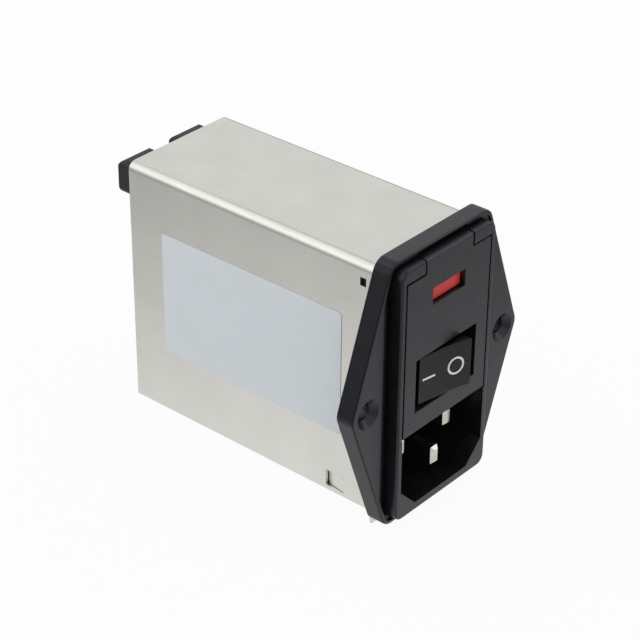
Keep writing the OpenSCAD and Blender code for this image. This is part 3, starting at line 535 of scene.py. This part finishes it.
class MODULE_OT_rocker_marks(ModuleOperator, bpy.types.Operator):
    """ON stroke and OFF ring printed on the rocker"""

    bl_idname = "module.rocker_marks"
    bl_label = "Rocker marks"

    def execute(self, context):
        self.paint = smooth_plastic("mark_white", self.kit.finishes.marks, roughness=0.5)
        self.print_ring()
        self.print_stroke()
        return {"FINISHED"}

    def seat(self, side, offset, rise):
        """A mark's place, its turn about Z and the way it faces, on the right (1) or left (-1) half."""
        marks = self.kit.marks
        pivot = Vector(JOINTS["rocker_pivot"]["pos_m"])
        tilt = math.radians(JOINTS["rocker_pivot"]["range_deg"][1] / 2)
        valley = pivot + marks.reach * Vector((-math.sin(tilt), -math.cos(tilt), 0))
        turn = -tilt - side * marks.slope
        along = Vector((math.cos(turn), math.sin(turn), 0))
        outward = Vector((math.sin(turn), -math.cos(turn), 0))
        place = valley + side * offset * along + Vector((0, 0, rise)) - marks.thickness * outward
        return place, along, outward, (math.pi / 2, 0, turn)

    def print_ring(self):
        marks = self.kit.marks
        place, _, outward, turn = self.seat(1, marks.ring_offset, marks.ring_rise)
        bpy.ops.object.select_all(action="DESELECT")
        bpy.ops.mesh.primitive_circle_add(
            vertices=72, radius=marks.ring_radius + marks.line / 2, fill_type="NGON",
            location=place, rotation=turn,
        )
        bpy.ops.object.mode_set(mode="EDIT")
        bpy.ops.mesh.select_mode(type="FACE")
        bpy.ops.mesh.select_all(action="SELECT")
        bpy.ops.mesh.inset(thickness=marks.line)
        bpy.ops.mesh.delete(type="FACE")
        self.raise_print("off_ring", outward)

    def print_stroke(self):
        marks = self.kit.marks
        place, along, outward, turn = self.seat(-1, marks.stroke_offset, marks.stroke_rise)
        bpy.ops.object.select_all(action="DESELECT")
        bpy.ops.mesh.primitive_plane_add(size=marks.line, location=place, rotation=turn)
        stroke = bpy.context.object
        for end in (1, -1):
            bpy.ops.object.mode_set(mode="EDIT")
            bpy.ops.mesh.select_mode(type="VERT")
            bpy.ops.mesh.select_all(action="DESELECT")
            bpy.ops.object.mode_set(mode="OBJECT")
            for point in stroke.data.vertices:
                point.select = point.co.x * end > 0
            bpy.ops.object.mode_set(mode="EDIT")
            bpy.ops.transform.translate(value=along * end * marks.stroke_length / 2)
        bpy.ops.mesh.select_all(action="SELECT")
        bpy.ops.mesh.bevel(offset=ROUND_END * marks.line, segments=8, affect="VERTICES")
        self.raise_print("on_stroke", outward)

    def raise_print(self, name, outward):
        """Gives the flat mark being edited its thickness and prints it on the rocker."""
        bpy.ops.mesh.select_mode(type="FACE")
        bpy.ops.mesh.select_all(action="SELECT")
        bpy.ops.mesh.extrude_region_move(
            TRANSFORM_OT_translate={"value": 2 * self.kit.marks.thickness * outward}
        )
        bpy.ops.mesh.select_all(action="SELECT")
        bpy.ops.mesh.normals_make_consistent(inside=False)
        bpy.ops.object.mode_set(mode="OBJECT")
        bpy.ops.object.transform_apply(location=True, rotation=True, scale=True)
        piece = bpy.context.object
        piece.name = name
        coat(piece, self.paint)
        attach(piece, "rocker")


class MODULE_OT_filter_can(ModuleOperator, bpy.types.Operator):
    """Folded can, its rear plate and its blank label"""

    bl_idname = "module.filter_can"
    bl_label = "Filter can"

    def execute(self, context):
        sheet = tinned_sheet()
        piece = welded_copy("filter_can", "filter_can_sheet")
        stand_for(piece, "filter_can", sheet)
        dress(["rear_plate"], sheet)
        dress(["label"], label_film())
        return {"FINISHED"}


class MODULE_OT_inlet_pins(ModuleOperator, bpy.types.Operator):
    """Inlet pins and rear tabs"""

    bl_idname = "module.inlet_pins"
    bl_label = "Pins and tabs"

    def execute(self, context):
        nickel = plated("nickel_plate", self.kit.finishes.plating, low=0.22, high=0.29)
        for node in ("line_pin", "neutral_pin", "earth_pin"):
            piece = welded_copy(node, node + "_plated")
            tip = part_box(node)[0].y + PIN_TIP
            round_edges(piece, self.kit.edges.pin, 2, lambda ends, normals: all(p.y < tip for p in ends))
            stand_for(piece, node, nickel)
        dress(["line_tab", "neutral_tab", "earth_tab", "earth_rivet", "fuse_caps", "plunger_springs"], nickel)
        return {"FINISHED"}


class MODULE_OT_rear_hoods(ModuleOperator, bpy.types.Operator):
    """Insulating hoods on the rear"""

    bl_idname = "module.rear_hoods"
    bl_label = "Rear hoods"

    def execute(self, context):
        black = moulded("hood_black", self.kit.finishes.moulding, roughness=0.42)
        dress(["line_hood", "neutral_hood"], black)
        return {"FINISHED"}


class MODULE_OT_fuse_drawer(ModuleOperator, bpy.types.Operator):
    """Red carrier and its fuses"""

    bl_idname = "module.fuse_drawer"
    bl_label = "Fuse drawer"

    def execute(self, context):
        finishes = self.kit.finishes
        dress(["fuse_carrier"], smooth_plastic("carrier_red", finishes.carrier, roughness=0.4))
        dress(["fuse_glass_upper", "fuse_glass_lower"], clear_glass())
        dress(["fuse_elements"], plated("fuse_wire", finishes.fuse_wire, low=0.25, high=0.35))
        return {"FINISHED"}


class MODULE_OT_switch_works(ModuleOperator, bpy.types.Operator):
    """Switch body, contacts and clips"""

    bl_idname = "module.switch_works"
    bl_label = "Switch works"

    def execute(self, context):
        finishes = self.kit.finishes
        dress(["switch_body"], moulded("switch_black", finishes.moulding, roughness=0.5))
        dress(["rocker_plungers"], smooth_plastic("plunger_white", finishes.plunger, roughness=0.4))
        brass = plated("contact_brass", finishes.brass, low=0.22, high=0.36)
        dress(["contact_arms", "common_terminals", "output_terminals", "fuse_clips"], brass)
        return {"FINISHED"}


class MODULE_OT_filter_works(ModuleOperator, bpy.types.Operator):
    """Board, choke, capacitors and leads inside the can"""

    bl_idname = "module.filter_works"
    bl_label = "Filter works"

    def execute(self, context):
        finishes = self.kit.finishes
        dress(["circuit_board"], smooth_plastic("board_green", finishes.board, roughness=0.35))
        dress(["choke_core"], moulded("ferrite_grey", finishes.ferrite, roughness=0.7))
        copper = plated("enamelled_copper", finishes.copper, low=0.25, high=0.4)
        dress(["line_winding", "neutral_winding"], copper)
        dress(["x_capacitor"], smooth_plastic("capacitor_yellow", finishes.film, roughness=0.35))
        dress(["y_capacitors", "bleed_resistor"], smooth_plastic("resin_blue", finishes.resin, roughness=0.3))
        brown = smooth_plastic("lead_brown", finishes.lead, roughness=0.45)
        dress(["pin_leads", "fuse_leads", "switch_leads"], brown)
        dress(["earth_lead"], smooth_plastic("lead_green", finishes.earth, roughness=0.45))
        return {"FINISHED"}


class MODULE_OT_stage(ModuleOperator, bpy.types.Operator):
    """Floor, light and camera"""

    bl_idname = "module.stage"
    bl_label = "Stage"

    def execute(self, context):
        self.add_floor()
        self.add_world()
        self.add_lights()
        self.add_camera()
        context.scene.view_settings.view_transform = "Standard"
        return {"FINISHED"}

    def add_floor(self):
        bpy.ops.object.select_all(action="DESELECT")
        bpy.ops.mesh.primitive_plane_add(size=FLOOR_SIZE, location=(0, 0, CAD_BOX[0][2]))
        floor = bpy.context.object
        floor.name = "studio_floor"
        bpy.ops.object.transform_apply(location=True, rotation=True, scale=True)
        finish = Finish("studio_floor")
        finish.set(roughness=0.9, base_color=FLOOR_GREY)
        tree = finish.tree
        glow = finish.node("ShaderNodeEmission")
        glow.inputs["Color"].default_value = WHITE
        finish.link(self.floor_glow(finish), glow.inputs["Strength"])
        mix = finish.node("ShaderNodeMixShader")
        finish.link(self.background_rays(tree, self.kit.studio.floor_glow), mix.inputs["Fac"])
        finish.link(finish.shader.outputs["BSDF"], mix.inputs[1])
        finish.link(glow.outputs["Emission"], mix.inputs[2])
        finish.link(mix.outputs["Shader"], tree.nodes["Material Output"].inputs["Surface"])
        coat(floor, finish.material)

    def floor_glow(self, finish):
        """White to the eye, and dimming away from the module where metal and gloss mirror it."""
        studio = self.kit.studio
        away = finish.node("ShaderNodeVectorMath")
        away.operation = "DISTANCE"
        finish.link(finish.place, away.inputs[0])
        away.inputs[1].default_value = (0, (CAD_BOX[0][1] + CAD_BOX[1][1]) / 2, CAD_BOX[0][2])
        ratio = self.sum_node(finish.tree, "DIVIDE", away.outputs["Value"], studio.reach)
        square = self.sum_node(finish.tree, "POWER", ratio, 2)
        spread = self.sum_node(finish.tree, "ADD", square, 1)
        fall = self.sum_node(finish.tree, "POWER", spread, -1)
        dim = finish.node("ShaderNodeMapRange")
        dim.inputs["To Min"].default_value = studio.horizon
        dim.inputs["To Max"].default_value = studio.near_floor
        finish.link(fall, dim.inputs["Value"])
        return self.white_to_the_eye(finish.tree, dim.outputs["Result"])

    def sum_node(self, tree, operation, source, value):
        """One step of arithmetic on a source and a number or a second source."""
        step = tree.nodes.new("ShaderNodeMath")
        step.operation = operation
        tree.links.new(source, step.inputs[0])
        if isinstance(value, bpy.types.NodeSocket):
            tree.links.new(value, step.inputs[1])
        else:
            step.inputs[1].default_value = value
        return step.outputs["Value"]

    def band(self, tree, source, limits, shades):
        """A soft step from one shade to another between two limits of a source."""
        step = tree.nodes.new("ShaderNodeMapRange")
        step.interpolation_type = "SMOOTHSTEP"
        step.inputs["From Min"].default_value, step.inputs["From Max"].default_value = limits
        step.inputs["To Min"].default_value, step.inputs["To Max"].default_value = shades
        tree.links.new(source, step.inputs["Value"])
        return step.outputs["Result"]

    def white_to_the_eye(self, tree, mirrored):
        """Plain white for camera rays, and another brightness for mirrored ones."""
        path = tree.nodes.new("ShaderNodeLightPath")
        seen = tree.nodes.new("ShaderNodeMix")
        tree.links.new(path.outputs["Is Camera Ray"], seen.inputs["Factor"])
        tree.links.new(mirrored, seen.inputs["A"])
        seen.inputs["B"].default_value = 1.0
        return seen.outputs["Result"]

    def background_rays(self, tree, share):
        """A share for rays that see the background: from the camera, mirrored or through glass."""
        path = tree.nodes.new("ShaderNodeLightPath")
        total = path.outputs["Is Camera Ray"]
        for name in ("Is Glossy Ray", "Is Transmission Ray"):
            total = self.sum_node(tree, "MAXIMUM", total, path.outputs[name])
        return self.sum_node(tree, "MULTIPLY", total, share)

    def add_world(self):
        world = bpy.data.worlds.new("studio_air")
        bpy.context.scene.world = world
        world.use_nodes = True
        tree = world.node_tree
        air = tree.nodes["Background"]
        air.inputs["Color"].default_value = WHITE
        strength = tree.nodes.new("ShaderNodeMix")
        strength.inputs["A"].default_value = self.kit.studio.ambient
        tree.links.new(self.air_glow(tree), strength.inputs["B"])
        tree.links.new(self.background_rays(tree, 1.0), strength.inputs["Factor"])
        tree.links.new(strength.outputs["Result"], air.inputs["Strength"])

    def air_glow(self, tree):
        """White to the eye, and dimming towards the horizon where metal and gloss mirror it."""
        studio = self.kit.studio
        toward = tree.nodes.new("ShaderNodeTexCoord")
        parts = tree.nodes.new("ShaderNodeSeparateXYZ")
        tree.links.new(toward.outputs["Generated"], parts.inputs["Vector"])
        low = self.band(tree, parts.outputs["Z"], AIR_RISE, (studio.horizon, studio.air_glow))
        high = self.band(tree, parts.outputs["Z"], AIR_FALL, (1.0, studio.zenith))
        return self.white_to_the_eye(tree, self.sum_node(tree, "MULTIPLY", low, high))

    def add_lights(self):
        studio = self.kit.studio
        self.add_soft_box("back_box", studio.back_light, **BACK_BOX)
        self.add_soft_box("front_box", studio.front_light, **FRONT_BOX)

    def add_soft_box(self, name, brightness, toward, along, size):
        """A soft box that faces the module from one side, with its long edge along a direction."""
        lamp = bpy.data.lights.new(name, "AREA")
        lamp.shape = "RECTANGLE"
        lamp.size, lamp.size_y = size
        lamp.energy = brightness * math.pi * size[0] * size[1]
        holder = bpy.data.objects.new(name, lamp)
        bpy.context.scene.collection.objects.link(holder)
        back = Vector(toward).normalized()
        side = Vector(along)
        side = (side - side.dot(back) * back).normalized()
        turn = Matrix((side, back.cross(side), back)).transposed().to_4x4()
        holder.matrix_world = Matrix.Translation(Vector(self.kit.studio.aim) + BOX_DISTANCE * back) @ turn

    def add_camera(self):
        studio = self.kit.studio
        level = math.cos(studio.elevation)
        back = Vector((
            math.sin(studio.azimuth) * level, -math.cos(studio.azimuth) * level, math.sin(studio.elevation)
        ))
        right = Vector((0, 0, 1)).cross(back).normalized()
        up = back.cross(right)
        turn = Matrix((right, up, back)).transposed().to_4x4() @ Matrix.Rotation(studio.roll, 4, "Z")
        lens = bpy.data.cameras.new("photo_camera")
        lens.lens = studio.lens
        lens.sensor_width = SENSOR_WIDTH
        lens.clip_start = NEAREST_SEEN
        camera = bpy.data.objects.new("photo_camera", lens)
        bpy.context.scene.collection.objects.link(camera)
        camera.matrix_world = Matrix.Translation(Vector(studio.aim) + back * studio.distance) @ turn
        bpy.context.scene.camera = camera


STEPS = (
    MODULE_OT_housing,
    MODULE_OT_fuse_door,
    MODULE_OT_rocker,
    MODULE_OT_rocker_marks,
    MODULE_OT_filter_can,
    MODULE_OT_inlet_pins,
    MODULE_OT_rear_hoods,
    MODULE_OT_fuse_drawer,
    MODULE_OT_switch_works,
    MODULE_OT_filter_works,
    MODULE_OT_stage,
)


class MODULE_PT_panel(bpy.types.Panel):
    """Lists the module's steps"""

    bl_idname = "MODULE_PT_panel"
    bl_label = "Power Entry Module"
    bl_space_type = "VIEW_3D"
    bl_region_type = "UI"
    bl_category = "Module"

    def draw(self, context):
        for step in STEPS:
            self.layout.operator(step.bl_idname)


GROUPS = (ModuleFinishes, ModuleEdges, ModuleMarks, ModuleStudio, ModuleKit)
CLASSES = GROUPS + STEPS + (MODULE_PT_panel,)


def register():
    for cls in CLASSES:
        bpy.utils.register_class(cls)
    bpy.types.Scene.module_kit = PointerProperty(type=ModuleKit)


def unregister():
    del bpy.types.Scene.module_kit
    for cls in reversed(CLASSES):
        bpy.utils.unregister_class(cls)


def main():
    register()
    for step in STEPS:
        group, name = step.bl_idname.split(".")
        getattr(getattr(bpy.ops, group), name)()


if __name__ == "__main__":
    main()
